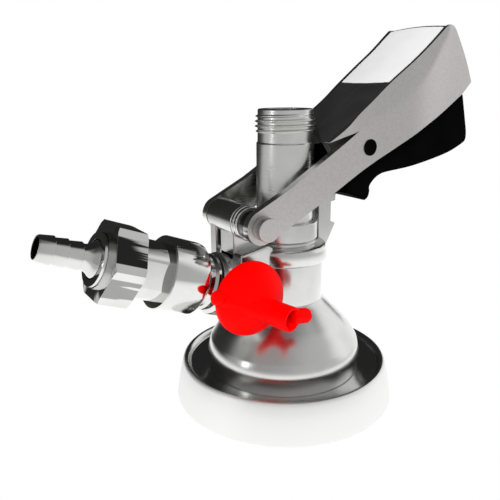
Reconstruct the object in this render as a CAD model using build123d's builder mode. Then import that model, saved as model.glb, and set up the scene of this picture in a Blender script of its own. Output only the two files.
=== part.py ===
"""Lever-handle keg coupler: body with skirt, sliding probe, gas inlet, relief valve and locking lever.

Millimetres. The origin is at the centre of the skirt's foot, +Z up along the probe,
+X the way the handle reaches, and the gas inlet leaves on the -X side.
"""

import os
from math import cos, radians, sin

from build123d import *

os.makedirs("parts", exist_ok=True)

# Clearances shared by everything that fits or moves
running_gap = 0.05
seat_gap = 0.05

# Skirt and body
skirt_foot_radius = 44.0
skirt_belt_radius = 42.5
skirt_belt_height = 9.3
skirt_rim_radius = 41.0
skirt_height = 16.0
skirt_wall = 2.2
dish_low = 12.0
wall_radius = 30.0
lip_radius = 30.8
lip_height = 18.5
shoulder_radius = 29.7
shoulder_height = 24.2
neck_radius = 15.0
neck_low = 41.0
collar_radius = 16.5
collar_height = 6.5
collar_round = 1.1
guide_outer = 12.8
guide_stand = 9.0
guide_lip_gap = 0.3
guide_low = 50.5
chamber_radius = 11.6
seat_radius = 8.3
seat_low = 20.0
seat_high = 24.0
foot_cavity_radius = 12.5
recess_radius = 28.0
recess_ceiling = 12.0
lug_inner_radius = 24.5
lug_low = 1.5
lug_high = 4.5
lug_angle = 40.0
gasket_outer = 17.0
gasket_inner = 11.2
gasket_low = 9.6
gasket_groove = 1.3

# Probe
outlet_root_radius = 10.29
probe_radius = 10.8
probe_top = 114.0
outlet_low = 102.0
probe_bore = 3.4
probe_stroke = 13.0
stem_radius = 7.0
stem_high = 50.0
foot_radius = 9.6
foot_low = 13.5
foot_thickness = 3.5
foot_seal_outer = 10.4
foot_seal_height = 2.6
seal_ring_radius = 1.2
upper_seal_height = 69.4
seal_spacing = 3.6
seal_groove_depth = 2.4
ball_radius = 4.5
ball_height = 96.0
ball_cage_radius = 5.2
ball_cage_low = 93.0
ball_cage_high = 104.0
retainer_radius = 7.0
retainer_bore = 4.0
retainer_top = 113.8
link_pin_radius = 2.2
link_pin_height = 88.0
link_pin_wall = 0.4
link_pin_outer = 14.6

# Lever and its pivot
pivot_x = -21.0
pivot_z = 74.8
pivot_pin_radius = 3.0
barrel_radius = 6.2
barrel_near = 4.8
barrel_far = 12.9
pivot_ring_radius = 6.3
pivot_ring_length = 3.7
spacer_radius = 5.5
pin_head_radius = 4.25
pin_head_end = 20.7
arm_outer = 16.2
arm_inner = 13.2
arm_end_radius = 6.3
lever_span = 50.0
plan_low = 40.0
plan_high = 160.0
shell_reach = 110.0
link_slot_depth = 1.6
link_slot_half = 2.85
link_slot_near = 20.7
link_slot_far = 25.1
link_slot_angle = 32.15
trigger_x = 28.0
trigger_z = 99.4
trigger_pin_radius = 3.15
trigger_coil_radius = 4.2
trigger_coil_pitch = 1.36
trigger_wire_radius = 0.5
grip_half_width = 12.6
insert_arch_radius = 12.9
insert_half_width = 11.4
latch_radius = 45.8
latch_half_width = 3.6
post_left = 14.8
post_top = 84.5
post_half_width = 3.0

# Gas inlet, measured outwards along its own axis
gas_height = 39.9
gas_tilt = 21.0
branch_radius = 8.5
branch_end = 37.0
block_start = 18.0
block_radius = 11.6
gas_bore = 4.0
spigot_radius = 7.0
spigot_start = 31.0
face_seal_thickness = 1.0
waist_radius = 9.2
gas_collar_start = 43.0
gas_collar_radius = 13.1
gas_collar_end = 57.7
gas_neck_radius = 10.4
gas_neck_end = 68.0
wrench_flats = 18.2
gas_thread_radius = 9.6
gas_thread_end = 73.8
check_radius = 6.5
check_start = 66.0
tail_washer_end = 75.0
tail_flange_radius = 9.3
tail_flange_end = 76.9
nut_start = 68.3
nut_end = 79.0
nut_flats = 25.4
nut_web_radius = 6.7
nut_ring_radius = 9.6
nut_ring_end = 80.2
tail_shank_radius = 6.4
tail_shank_end = 81.6
barb_root = 4.2
barb_crest = 4.75
barb_bore = 3.5
tail_end = 100.0

# Relief valve, measured outwards from the lever's plane
relief_x = -26.5
relief_z = 50.1
relief_boss_radius = 9.6
relief_boss_end = 13.2
relief_bore = 6.5
relief_flange_radius = 9.0
relief_flange_end = 14.4
relief_sleeve_radius = 6.3
relief_sleeve_end = 17.2
relief_seat_wall = 1.5
relief_pad_start = 9.2
relief_disc_start = 10.45
relief_disc_end = 11.9
relief_seat_start = 7.6
relief_seat_bore = 2.4
relief_chamber = 5.0
poppet_radius = 4.0
poppet_stem = 1.5
relief_stem_end = 22.0
gland_thickness = 1.6
relief_coil_pitch = 0.8
relief_wire_radius = 0.26
cap_radius = 13.6
cap_rim = 14.8
cap_crest = 24.3
cap_wall = 1.6


# Sizes that follow from the ones above
lower_seal_height = upper_seal_height - seal_spacing
link_pin_inner = retainer_radius + link_pin_wall
guide_top = link_pin_height - link_pin_radius - probe_stroke - guide_lip_gap
collar_high = guide_top - guide_stand
collar_low = collar_high - collar_height


def finish(part, label):
    """Name the finished piece and write it as one STEP file."""
    part.label = label
    export_step(part, f"parts/{label}.step")
    print(label, round(part.volume), "mm3", len(part.solids()), "solids")


# Gas inlet's frame: local X runs outwards along the inlet, local Y up across it
gas_direction = Vector(-cos(radians(gas_tilt)), 0, sin(radians(gas_tilt)))
gas_origin = Vector(0, 0, gas_height)
gas_plane = Plane(origin=gas_origin, x_dir=gas_direction, z_dir=(0, 1, 0))
gas_axis = Axis(gas_origin, gas_direction)


def gas_section(distance):
    """Plane square to the inlet's axis, a distance out from the probe's axis."""
    centre = gas_origin + gas_direction * distance
    return Plane(origin=centre, x_dir=(0, 1, 0), z_dir=gas_direction)


def lever_section(y):
    """Plane at y with local X along +X and local Y up; it extrudes towards -Y."""
    return Plane.XZ.offset(-y)


# Relief valve's frame: local X runs outwards along its axis, local Y along +X
relief_origin = Vector(relief_x, 0, relief_z)
relief_plane = Plane(origin=relief_origin, x_dir=(0, -1, 0), z_dir=(0, 0, 1))
relief_axis = Axis(relief_origin, (0, -1, 0))

# Body: wall, cone, neck, collar and guide, with the inlet branch, pivot barrel and lock post
with BuildPart() as body_casting:
    with BuildSketch(Plane.XZ):
        with BuildLine():
            Polyline(
                (0, 0),
                (wall_radius, 0),
                (wall_radius, lip_height - 0.6),
                (lip_radius, lip_height),
                (lip_radius, lip_height + 1.0),
                (shoulder_radius, shoulder_height),
                (26.5, 29.4),
                (19.2, 37.0),
                (16.6, 39.3),
                (neck_radius, neck_low),
                (neck_radius, collar_low),
                (collar_radius, collar_low),
                (collar_radius, collar_high),
                (guide_outer + 0.9, collar_high),
                (guide_outer - 0.6, collar_high + 0.5),
                (guide_outer - 0.6, collar_high + 1.7),
                (guide_outer, collar_high + 2.3),
                (guide_outer, guide_top),
                (0, guide_top),
                (0, 0),
            )
        make_face()
    revolve(axis=Axis.Z)
    collar_edges = body_casting.edges().filter_by(GeomType.CIRCLE)
    collar_edges = collar_edges.filter_by(lambda edge: abs(edge.radius - collar_radius) < 0.01)
    fillet(collar_edges, collar_round)
    # Inlet branch and the wider junction block that carries the relief valve
    with BuildSketch(gas_plane):
        with BuildLine():
            Polyline(
                (9, 0),
                (9, branch_radius),
                (block_start, branch_radius),
                (block_start + 2.5, block_radius - 1.0),
                (block_start + 5.0, block_radius),
                (branch_end - 1.4, block_radius),
                (branch_end, block_radius - 1.4),
                (branch_end, 0),
                (9, 0),
            )
        make_face()
    revolve(axis=gas_axis)
    with BuildSketch(lever_section(0)):
        with Locations((relief_x, relief_z)):
            Circle(relief_boss_radius)
    extrude(amount=relief_boss_end)
    with BuildSketch(gas_section(branch_end)):
        Circle(20)
    extrude(amount=8, mode=Mode.SUBTRACT)
    # Pivot barrel on two webs that rise from the collar and the branch
    with BuildSketch(lever_section(barrel_far)):
        with Locations((pivot_x, pivot_z)):
            Circle(barrel_radius)
    extrude(amount=barrel_far + barrel_near)
    with BuildSketch(lever_section(11.5)):
        with BuildLine():
            Polyline(
                (pivot_x - 5.6, pivot_z - 1.5),
                (pivot_x - 5.6, collar_low + 3.0),
                (pivot_x - 2.0, collar_low - 1.0),
                (pivot_x + 8.0, collar_low - 1.0),
                (pivot_x + 9.8, collar_high + 2.5),
                (pivot_x + 5.8, pivot_z - 1.0),
                (pivot_x - 5.6, pivot_z - 1.5),
            )
        make_face()
    extrude(amount=4.5)
    with BuildSketch(lever_section(5.6)):
        with BuildLine():
            Polyline(
                (pivot_x - 4.6, pivot_z - 3.5),
                (pivot_x - 4.6, collar_low - 2.5),
                (pivot_x + 9.0, collar_low - 2.5),
                (pivot_x + 9.8, collar_high + 1.0),
                (pivot_x + 5.4, pivot_z - 2.5),
                (pivot_x - 4.6, pivot_z - 3.5),
            )
        make_face()
    extrude(amount=9.8)
    with BuildSketch(lever_section(9.5)):
        with BuildLine():
            Polyline(
                (pivot_x - 4.6, collar_high + 0.5),
                (pivot_x - 4.6, collar_low - 2.5),
                (pivot_x + 9.0, collar_low - 2.5),
                (pivot_x + 9.8, collar_high + 1.0),
                (pivot_x + 7.0, collar_high + 2.5),
                (pivot_x - 4.6, collar_high + 0.5),
            )
        make_face()
    extrude(amount=19.0)
    # Lock post for the trigger: head, waist and a lower lip with a ramp
    with BuildSketch(lever_section(post_half_width)):
        with BuildLine():
            Polyline(
                (post_left, collar_low + 0.5),
                (post_left, post_top),
                (post_left + 8.5, post_top),
                (post_left + 8.5, post_top - 7.2),
                (post_left + 6.3, post_top - 7.4),
                (post_left + 6.3, post_top - 15.3),
                (post_left + 8.7, post_top - 16.3),
                (post_left + 4.3, collar_low + 2.9),
                (post_left + 1.2, collar_low + 0.5),
                (post_left, collar_low + 0.5),
            )
        make_face()
    extrude(amount=2 * post_half_width)
    # Bores: guide, gas chamber, seat and the recess that takes the keg's neck
    with BuildSketch(Plane.XZ):
        with BuildLine():
            Polyline(
                (0, -1),
                (recess_radius, -1),
                (recess_radius, recess_ceiling),
                (gasket_outer + seat_gap, recess_ceiling),
                (gasket_outer + seat_gap, recess_ceiling + gasket_groove),
                (foot_cavity_radius, recess_ceiling + gasket_groove),
                (foot_cavity_radius, seat_low),
                (seat_radius, seat_low),
                (seat_radius, seat_high - 0.8),
                (seat_radius + 0.8, seat_high),
                (chamber_radius, seat_high),
                (chamber_radius, guide_low - 0.8),
                (probe_radius + running_gap, guide_low),
                (probe_radius + running_gap, guide_top + 1),
                (0, guide_top + 1),
                (0, -1),
            )
        make_face()
    revolve(axis=Axis.Z, mode=Mode.SUBTRACT)
    # Gas way from the branch's face into the chamber, and the counterbore for the spigot
    with BuildSketch(gas_section(8)):
        Circle(gas_bore)
    extrude(amount=branch_end - 8, mode=Mode.SUBTRACT)
    with BuildSketch(gas_section(spigot_start)):
        Circle(spigot_radius)
    extrude(amount=branch_end - spigot_start + 1, mode=Mode.SUBTRACT)
    # Relief valve's bore into the gas way
    with BuildSketch(lever_section(-relief_seat_start)):
        with Locations((relief_x, relief_z)):
            Circle(relief_bore)
    extrude(amount=relief_boss_end, mode=Mode.SUBTRACT)
    with BuildSketch(lever_section(0)):
        with Locations((relief_x, relief_z)):
            Circle(relief_seat_bore)
    extrude(amount=relief_seat_start + 1, mode=Mode.SUBTRACT)
    with BuildSketch(lever_section(barrel_far + 1)):
        with Locations((pivot_x, pivot_z)):
            Circle(pivot_pin_radius + running_gap)
    extrude(amount=barrel_far + barrel_near + 2, mode=Mode.SUBTRACT)
    # Bayonet lugs that hook under the keg valve's flange
    with BuildSketch(Plane.XY.offset(lug_low)):
        Circle(recess_radius + 0.5)
        Circle(lug_inner_radius, mode=Mode.SUBTRACT)
        with Locations((0, 40), (0, -40)):
            Rectangle(100, 80 - 2 * recess_radius * sin(radians(lug_angle / 2)), mode=Mode.SUBTRACT)
    extrude(amount=lug_high - lug_low)
finish(body_casting.part, "body_casting")

# Skirt: one spun bell whose dished top sits round the body's wall
with BuildPart() as skirt_ring:
    with BuildSketch(Plane.XZ):
        with BuildLine():
            Polyline(
                (skirt_foot_radius - skirt_wall, 0),
                (skirt_foot_radius - 0.6, 0),
                (skirt_foot_radius, 0.6),
                (skirt_belt_radius, skirt_belt_height),
                (skirt_rim_radius + 0.4, skirt_height - 1.6),
                (skirt_rim_radius, skirt_height - 0.6),
                (skirt_rim_radius - 0.7, skirt_height),
                (skirt_rim_radius - 1.6, skirt_height - 0.3),
                (31.5, dish_low + 0.1),
                (wall_radius + seat_gap, dish_low),
                (wall_radius + seat_gap, dish_low - skirt_wall),
                (31.5, dish_low - skirt_wall + 0.1),
                (38.6, 13.2),
                (skirt_belt_radius - skirt_wall, skirt_belt_height),
                (skirt_foot_radius - skirt_wall, 0),
            )
        make_face()
    revolve(axis=Axis.Z)
finish(skirt_ring.part, "skirt_ring")

# Gasket that seals against the keg valve
with BuildPart() as keg_gasket:
    with BuildSketch(Plane.XZ):
        with BuildLine():
            Polyline(
                (gasket_inner, gasket_low + 0.6),
                (gasket_inner + 0.6, gasket_low),
                (gasket_outer - 0.6, gasket_low),
                (gasket_outer, gasket_low + 0.6),
                (gasket_outer, recess_ceiling + gasket_groove - seat_gap),
                (gasket_inner, recess_ceiling + gasket_groove - seat_gap),
                (gasket_inner, gasket_low + 0.6),
            )
        make_face()
    revolve(axis=Axis.Z)
finish(keg_gasket.part, "keg_gasket")

# Probe: turned tube with outlet, link pin holes, seal grooves, stem and valve foot
groove_half = seal_ring_radius + 0.15
groove_root = probe_radius - seal_groove_depth
with BuildPart() as probe_tube:
    with BuildSketch(Plane.XZ):
        with BuildLine():
            Polyline(
                (probe_bore, foot_low + 0.5),
                (probe_bore + 0.5, foot_low),
                (foot_radius - 0.6, foot_low),
                (foot_radius, foot_low + 0.6),
                (foot_radius, foot_low + foot_thickness),
                (stem_radius, foot_low + foot_thickness),
                (stem_radius, stem_high - 2.0),
                (probe_radius - 1.0, stem_high),
                (probe_radius, stem_high + 1.0),
                (probe_radius, lower_seal_height - groove_half),
                (groove_root, lower_seal_height - groove_half),
                (groove_root, lower_seal_height + groove_half),
                (probe_radius, lower_seal_height + groove_half),
                (probe_radius, upper_seal_height - groove_half),
                (groove_root, upper_seal_height - groove_half),
                (groove_root, upper_seal_height + groove_half),
                (probe_radius, upper_seal_height + groove_half),
                (probe_radius, outlet_low - 0.5),
                (outlet_root_radius, outlet_low),
                (outlet_root_radius, probe_top - 0.4),
                (outlet_root_radius - 0.4, probe_top),
                (retainer_radius, probe_top),
                (retainer_radius, ball_cage_high),
                (ball_cage_radius, ball_cage_high),
                (ball_cage_radius, ball_cage_low),
                (probe_bore, ball_cage_low),
                (probe_bore, foot_low + 0.5),
            )
        make_face()
    revolve(axis=Axis.Z)
    for side in (-1, 1):
        with BuildSketch(Plane.XZ.offset(side * link_pin_inner)):
            with Locations((0, link_pin_height)):
                Circle(link_pin_radius)
        extrude(amount=side * 8, mode=Mode.SUBTRACT)
finish(probe_tube.part, "probe_tube")

# Seals in the probe's grooves
for seal_name, seal_height in (
    ("upper_probe_seal", upper_seal_height),
    ("lower_probe_seal", lower_seal_height),
):
    with BuildPart() as probe_seal:
        with BuildSketch(Plane.XZ):
            with Locations((probe_radius + 0.02 - seal_ring_radius, seal_height)):
                Circle(seal_ring_radius)
        revolve(axis=Axis.Z)
    finish(probe_seal.part, seal_name)

# Rubber seal above the probe's foot, which closes against the body's seat
with BuildPart() as probe_foot_seal:
    with BuildSketch(Plane.XZ):
        with BuildLine():
            Polyline(
                (stem_radius + seat_gap, foot_low + foot_thickness + seat_gap),
                (foot_seal_outer, foot_low + foot_thickness + seat_gap),
                (foot_seal_outer, foot_low + foot_thickness + foot_seal_height - 0.7),
                (foot_seal_outer - 0.7, foot_low + foot_thickness + foot_seal_height),
                (stem_radius + seat_gap, foot_low + foot_thickness + foot_seal_height),
                (stem_radius + seat_gap, foot_low + foot_thickness + seat_gap),
            )
        make_face()
    revolve(axis=Axis.Z)
finish(probe_foot_seal.part, "probe_foot_seal")

# Link pins that carry the probe in the lever's arms
with BuildPart() as link_pins:
    for side in (-1, 1):
        with BuildSketch(Plane.XZ.offset(side * (link_pin_inner + seat_gap))):
            with Locations((0, link_pin_height)):
                Circle(link_pin_radius)
        extrude(amount=side * (link_pin_outer - link_pin_inner - seat_gap))
finish(link_pins.part, "link_pins")

# Check ball and the ring that keeps it in the probe
with BuildPart() as check_ball:
    with Locations((0, 0, ball_height)):
        Sphere(ball_radius)
finish(check_ball.part, "check_ball")

with BuildPart() as ball_retainer:
    with BuildSketch(Plane.XY.offset(ball_cage_high + seat_gap)):
        Circle(retainer_radius - seat_gap)
        Circle(retainer_bore, mode=Mode.SUBTRACT)
    extrude(amount=retainer_top - ball_cage_high - seat_gap)
finish(ball_retainer.part, "ball_retainer")

# Gas adapter: spigot in the body, waist, round collar, flatted neck and threaded end
with BuildPart() as gas_adapter:
    with BuildSketch(gas_plane):
        with BuildLine():
            Polyline(
                (spigot_start + 0.1, gas_bore),
                (spigot_start + 0.1, spigot_radius - seat_gap),
                (branch_end + face_seal_thickness, spigot_radius - seat_gap),
                (branch_end + face_seal_thickness, 10.4),
                (branch_end + 1.9, 10.4),
                (branch_end + 3.0, waist_radius + 0.2),
                (branch_end + 4.5, waist_radius),
                (gas_collar_start, waist_radius + 1.2),
                (gas_collar_start + 0.1, 11.4),
                (gas_collar_start + 0.9, 12.6),
                (gas_collar_start + 2.2, gas_collar_radius),
                (gas_collar_end - 0.5, gas_collar_radius),
                (gas_collar_end, gas_collar_radius - 0.5),
                (gas_collar_end, gas_neck_radius),
                (gas_neck_end, gas_neck_radius),
                (gas_neck_end, gas_thread_radius),
                (gas_thread_end - 0.5, gas_thread_radius),
                (gas_thread_end, gas_thread_radius - 0.5),
                (gas_thread_end, check_radius),
                (check_start, check_radius),
                (check_start, gas_bore),
                (spigot_start + 0.1, gas_bore),
            )
        make_face()
    revolve(axis=gas_axis)
    with BuildSketch(gas_section(gas_collar_end)):
        Circle(gas_neck_radius + 1)
        Rectangle(wrench_flats, 40, mode=Mode.SUBTRACT)
    extrude(amount=gas_neck_end - gas_collar_end, mode=Mode.SUBTRACT)
finish(gas_adapter.part, "gas_adapter")

# Flat seal between the body's branch and the adapter's shoulder
with BuildPart() as gas_adapter_seal:
    with BuildSketch(gas_section(branch_end + seat_gap)):
        Circle(10.0)
        Circle(spigot_radius, mode=Mode.SUBTRACT)
    extrude(amount=face_seal_thickness - 2 * seat_gap)
finish(gas_adapter_seal.part, "gas_adapter_seal")

# Rubber check valve: a flanged sleeve that tapers to a flat bill on the body's side
with BuildPart() as gas_check_valve:
    with BuildSketch(gas_section(gas_thread_end - seat_gap)):
        Circle(check_radius - seat_gap)
    extrude(amount=-1.8)
    with BuildSketch(gas_section(gas_thread_end - 1.8)):
        Circle(4.6)
    with BuildSketch(gas_section(check_start + 0.4)):
        Rectangle(7.0, 1.6)
    loft()
    with BuildSketch(gas_section(gas_thread_end)):
        Circle(3.4)
    with BuildSketch(gas_section(check_start + 0.2)):
        Rectangle(5.4, 0.3)
    loft(mode=Mode.SUBTRACT)
finish(gas_check_valve.part, "gas_check_valve")

# Washer that seals the hose tail on the adapter's end
with BuildPart() as tail_washer:
    with BuildSketch(gas_section(gas_thread_end + seat_gap)):
        Circle(tail_flange_radius)
        Circle(4.5, mode=Mode.SUBTRACT)
    extrude(amount=tail_washer_end - gas_thread_end - 2 * seat_gap)
finish(tail_washer.part, "tail_washer")

# Hexagon union nut with chamfered faces and a ringed outer boss
with BuildPart() as gas_hose_nut:
    with BuildSketch(gas_section(nut_start)):
        RegularPolygon(radius=nut_flats / 2, side_count=6, major_radius=False)
    extrude(amount=nut_end - nut_start)
    nut_round = nut_flats / 2 + 0.35
    with BuildSketch(gas_plane):
        with BuildLine():
            Polyline(
                (nut_start, 0),
                (nut_start, nut_round),
                (nut_start + 1.4, 15.2),
                (nut_end - 1.4, 15.2),
                (nut_end, nut_round),
                (nut_end, 0),
                (nut_start, 0),
            )
        make_face()
    revolve(axis=gas_axis, mode=Mode.INTERSECT)
    with BuildSketch(gas_plane):
        with BuildLine():
            Polyline(
                (nut_end - 1, nut_web_radius),
                (nut_end - 1, nut_ring_radius),
                (nut_ring_end, nut_ring_radius),
                (nut_ring_end, nut_ring_radius - 0.9),
                (nut_ring_end + 0.3, nut_ring_radius - 0.9),
                (nut_ring_end + 0.3, nut_ring_radius - 0.4),
                (nut_ring_end + 1.2, nut_ring_radius - 0.5),
                (nut_ring_end + 1.2, nut_web_radius),
                (nut_end - 1, nut_web_radius),
            )
        make_face()
    revolve(axis=gas_axis)
    with BuildSketch(gas_plane):
        with BuildLine():
            Polyline(
                (nut_start - 1, 0),
                (nut_start - 1, gas_thread_radius + 0.09),
                (tail_flange_end + 0.1, gas_thread_radius + 0.09),
                (tail_flange_end + 0.1, nut_web_radius),
                (nut_ring_end + 2, nut_web_radius),
                (nut_ring_end + 2, 0),
                (nut_start - 1, 0),
            )
        make_face()
    revolve(axis=gas_axis, mode=Mode.SUBTRACT)
finish(gas_hose_nut.part, "gas_hose_nut")

# Hose tail: flange inside the nut, shank, flared neck and three barbs
with BuildPart() as hose_tail:
    with BuildSketch(gas_plane):
        with BuildLine():
            Polyline(
                (tail_washer_end, barb_bore + 0.8),
                (tail_washer_end, tail_flange_radius),
                (tail_flange_end, tail_flange_radius),
                (tail_flange_end, tail_shank_radius),
                (tail_shank_end, tail_shank_radius),
                (tail_shank_end + 0.8, 5.4),
                (tail_shank_end + 2.2, 4.7),
                (tail_shank_end + 4.4, barb_root + 0.1),
                (tail_shank_end + 4.5, barb_crest),
                (90.6, barb_root),
                (90.7, barb_crest),
                (95.0, barb_root),
                (95.1, barb_crest),
                (tail_end - 0.3, barb_root),
                (tail_end, barb_root - 0.3),
                (tail_end, barb_bore),
                (tail_washer_end + 0.8, barb_bore),
                (tail_washer_end, barb_bore + 0.8),
            )
        make_face()
    revolve(axis=gas_axis)
finish(hose_tail.part, "hose_tail")

# Relief valve's seat body, screwed into the boss
with BuildPart() as relief_insert:
    with BuildSketch(relief_plane):
        with BuildLine():
            Polyline(
                (relief_seat_start + seat_gap, relief_seat_bore),
                (relief_seat_start + seat_gap, relief_bore - seat_gap),
                (relief_boss_end + seat_gap, relief_bore - seat_gap),
                (relief_boss_end + seat_gap, relief_flange_radius),
                (relief_flange_end, relief_flange_radius),
                (relief_flange_end, relief_sleeve_radius),
                (relief_sleeve_end, relief_sleeve_radius),
                (relief_sleeve_end, relief_chamber),
                (relief_seat_start + relief_seat_wall, relief_chamber),
                (relief_seat_start + relief_seat_wall, relief_seat_bore),
                (relief_seat_start + seat_gap, relief_seat_bore),
            )
        make_face()
    revolve(axis=relief_axis)
finish(relief_insert.part, "relief_insert")

# Gland that guides the relief stem and holds its spring, with three vent holes
with BuildPart() as relief_gland:
    with BuildSketch(lever_section(-(relief_sleeve_end - gland_thickness))):
        with Locations((relief_x, relief_z)):
            Circle(relief_chamber - seat_gap)
            Circle(poppet_stem + 0.08, mode=Mode.SUBTRACT)
            with PolarLocations(3.4, 3):
                Circle(0.7, mode=Mode.SUBTRACT)
    extrude(amount=gland_thickness)
finish(relief_gland.part, "relief_gland")

# Relief poppet: disc and the long stem that the cap is pressed on
with BuildPart() as relief_poppet:
    with BuildSketch(relief_plane):
        with BuildLine():
            Polyline(
                (relief_disc_start, 0),
                (relief_disc_start, poppet_radius),
                (relief_disc_end, poppet_radius),
                (relief_disc_end, poppet_stem),
                (relief_stem_end - 0.3, poppet_stem),
                (relief_stem_end, poppet_stem - 0.3),
                (relief_stem_end, 0),
                (relief_disc_start, 0),
            )
        make_face()
    revolve(axis=relief_axis)
finish(relief_poppet.part, "relief_poppet")

with BuildPart() as relief_pad:
    with BuildSketch(lever_section(-relief_pad_start)):
        with Locations((relief_x, relief_z)):
            Circle(poppet_radius - 0.1)
    extrude(amount=relief_disc_start - relief_pad_start - seat_gap)
finish(relief_pad.part, "relief_pad")

# Relief spring round the stem, resting on the poppet's disc
with BuildPart() as relief_spring:
    with BuildLine() as relief_coil:
        Helix(
            pitch=relief_coil_pitch,
            height=2 * relief_coil_pitch,
            radius=2.6,
            center=(relief_x, -relief_disc_end - relief_wire_radius - seat_gap, relief_z),
            direction=(0, -1, 0),
        )
    with BuildSketch(Plane(origin=relief_coil.line @ 0, z_dir=relief_coil.line % 0)):
        Circle(relief_wire_radius)
    sweep(path=relief_coil.line)
finish(relief_spring.part, "relief_spring")

# Relief cap: red dome with a turned hub, a pull ridge, an outlet nozzle and two finger nubs
nozzle_base = Vector(-22.2, -24.0, 46.6)
nozzle_tip = Vector(-20.1, -33.0, 46.3)
nozzle_direction = (nozzle_tip - nozzle_base).normalized()
nozzle_length = (nozzle_tip - nozzle_base).length
nozzle_radius = 4.45
nub_radius = 2.65
near_nub_tip = Vector(-41.8, -17.0, 53.7)
near_nub_direction = Vector(-15.3, 0, 3.6).normalized()
with BuildPart() as relief_cap:
    with BuildSketch(relief_plane):
        with BuildLine():
            dome = Spline(
                (cap_rim + 0.8, cap_radius),
                (18.0, 13.2),
                (21.0, 10.6),
                (23.4, 6.0),
                (cap_crest, 0),
                tangents=[(1, 0.1), (0, -1)],
            )
            Polyline(
                (cap_crest, 0),
                (cap_rim, 0),
                (cap_rim, cap_radius - 0.4),
                (cap_rim + 0.8, cap_radius),
            )
        make_face()
    revolve(axis=relief_axis)
    ridge_start = near_nub_tip - near_nub_direction * 4.0
    ridge_end = nozzle_base
    ridge_direction = (ridge_end - ridge_start).normalized()
    with BuildSketch(Plane(origin=ridge_start, z_dir=ridge_direction)):
        Circle(nub_radius)
    with BuildSketch(Plane(origin=ridge_end, z_dir=ridge_direction)):
        Circle(nozzle_radius)
    loft()
    with BuildSketch(Plane(origin=near_nub_tip, z_dir=near_nub_direction)):
        Circle(nub_radius)
    extrude(amount=-8)
    nub_edges = relief_cap.faces().sort_by(Axis.X)[0].edges()
    fillet(nub_edges, 1.2)
    with BuildSketch(Plane(origin=nozzle_tip, z_dir=nozzle_direction)):
        Circle(nozzle_radius)
    extrude(amount=-nozzle_length - 4)
    with Locations(nozzle_base):
        Sphere(nozzle_radius)
    with BuildSketch(Plane(origin=(-12.6, -30.6, 45.8), z_dir=(1, -0.1, -0.1))):
        RectangleRounded(5.4, 4.4, 1.8)
    extrude(amount=-6)
    with Locations((-12.6, -30.6, 45.8)):
        Sphere(2.1)
    # Hollow below the dome, hub bore for the stem and the nozzle's bore
    with BuildSketch(relief_plane):
        with BuildLine():
            Polyline(
                (cap_rim - 6, 3.4),
                (cap_rim + 5.6, 3.4),
                (cap_rim + 7.4, 5.2),
                (cap_rim + 5.0, 9.3),
                (cap_rim + 2.8, cap_radius - cap_wall - 0.4),
                (cap_rim - 6, cap_radius - cap_wall),
                (cap_rim - 6, 3.4),
            )
        make_face()
    revolve(axis=relief_axis, mode=Mode.SUBTRACT)
    with BuildSketch(relief_plane):
        with BuildLine():
            Polyline(
                (0, 0),
                (0, 3.4),
                (relief_sleeve_end + 0.3, 3.4),
                (relief_sleeve_end + 0.3, poppet_stem + 0.08),
                (relief_stem_end + 0.1, poppet_stem + 0.08),
                (relief_stem_end + 0.1, 0),
                (0, 0),
            )
        make_face()
    revolve(axis=relief_axis, mode=Mode.SUBTRACT)
    with BuildSketch(Plane(origin=nozzle_tip, z_dir=nozzle_direction)):
        Circle(3.4)
    extrude(amount=-7.5, mode=Mode.SUBTRACT)
finish(relief_cap.part, "relief_cap")

# Lever pivot: headed pin, end cap, bright ring and dark spacer
with BuildPart() as pivot_pin:
    with BuildSketch(lever_section(19.0)):
        with Locations((pivot_x, pivot_z)):
            Circle(pivot_pin_radius)
    extrude(amount=19.0 + arm_outer + 1)
    with BuildSketch(lever_section(-(arm_outer + 0.05))):
        with Locations((pivot_x, pivot_z)):
            Circle(pin_head_radius)
    extrude(amount=pin_head_end - arm_outer - 0.05)
    head_edges = pivot_pin.faces().sort_by(Axis.Y)[0].edges()
    chamfer(head_edges, 0.25)
finish(pivot_pin.part, "pivot_pin")

with BuildPart() as pivot_cap:
    with BuildSketch(lever_section(pin_head_end)):
        with Locations((pivot_x, pivot_z)):
            Circle(4.9)
    extrude(amount=pin_head_end - arm_outer - 0.05)
    dome_edges = pivot_cap.faces().sort_by(Axis.Y)[-1].edges()
    fillet(dome_edges, 2.6)
    with BuildSketch(lever_section(19.0 + seat_gap)):
        with Locations((pivot_x, pivot_z)):
            Circle(pivot_pin_radius + seat_gap)
    extrude(amount=5, mode=Mode.SUBTRACT)
finish(pivot_cap.part, "pivot_cap")

with BuildPart() as pivot_ring:
    with BuildSketch(lever_section(-(barrel_near + seat_gap))):
        with Locations((pivot_x, pivot_z)):
            Circle(pivot_ring_radius)
            Circle(pivot_pin_radius + seat_gap, mode=Mode.SUBTRACT)
    extrude(amount=pivot_ring_length)
    rim = pivot_ring.edges().filter_by(GeomType.CIRCLE)
    rim = rim.filter_by(lambda edge: abs(edge.radius - pivot_ring_radius) < 0.01)
    chamfer(rim, 0.5)
finish(pivot_ring.part, "pivot_ring")

with BuildPart() as pivot_spacer:
    with BuildSketch(lever_section(-(barrel_near + pivot_ring_length + 2 * seat_gap))):
        with Locations((pivot_x, pivot_z)):
            Circle(spacer_radius)
            Circle(pivot_pin_radius + seat_gap, mode=Mode.SUBTRACT)
    extrude(amount=arm_inner - barrel_near - pivot_ring_length - 0.2)
finish(pivot_spacer.part, "pivot_spacer")

# Half-width of the shell's inside, from the arms to beyond the end wall
shell_points = [(24, 14.4), (38, 15.4), (52, 16.2), (70, 14.6), (shell_reach, 12.4)]
insert_points = [(x, half_width - seat_gap) for x, half_width in shell_points]

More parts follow.
